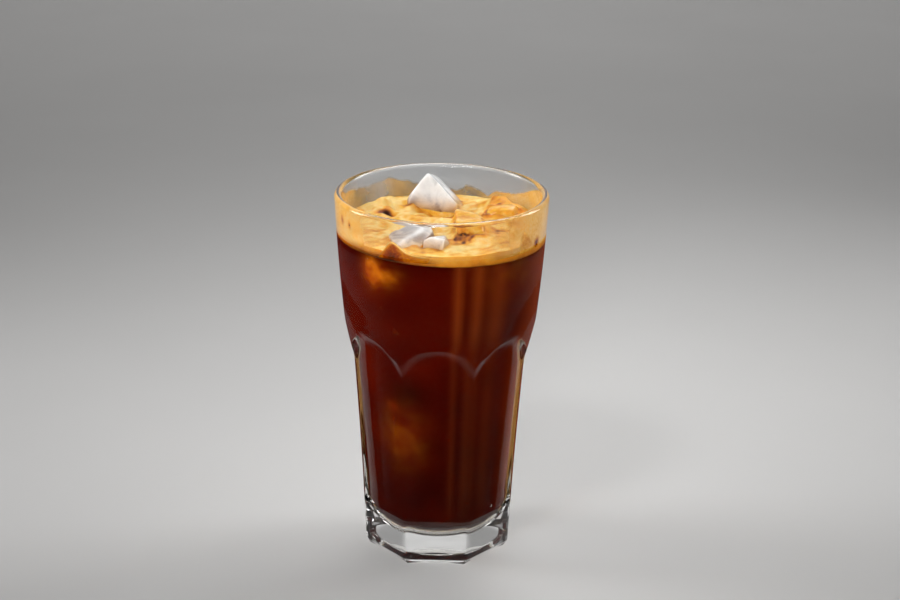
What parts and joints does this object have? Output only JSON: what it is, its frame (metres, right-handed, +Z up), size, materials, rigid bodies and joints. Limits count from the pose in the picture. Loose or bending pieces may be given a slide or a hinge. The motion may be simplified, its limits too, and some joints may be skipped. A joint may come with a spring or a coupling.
{
  "type": "iced coffee in a faceted glass",
  "caption": "Tall clear tumbler with faceted lower half, filled with black coffee under pale foam, blocks of ice breaking the surface.",
  "frame": {"origin": "middle of the foot, on the surface that the glass stands on", "axes": "+Z up along the axis of the glass, -Y towards the viewer of the front, +X to the viewer's right"},
  "size_m": [0.0882, 0.0882, 0.1582],
  "materials": {
    "glass": "polished clear soda glass",
    "coffee": "clear dark brown liquid, wet gloss",
    "foam": "fine creamy foam, satin",
    "ice": "wet ice, clear to cloudy"
  },
  "bodies": {
    "root": {"glass": "glass", "coffee": "coffee", "foam": "foam", "ice_peak": "ice", "ice_front_left": "ice", "ice_front": "ice", "ice_right": "ice", "ice_back_right": "ice"}
  },
  "joints": []
}
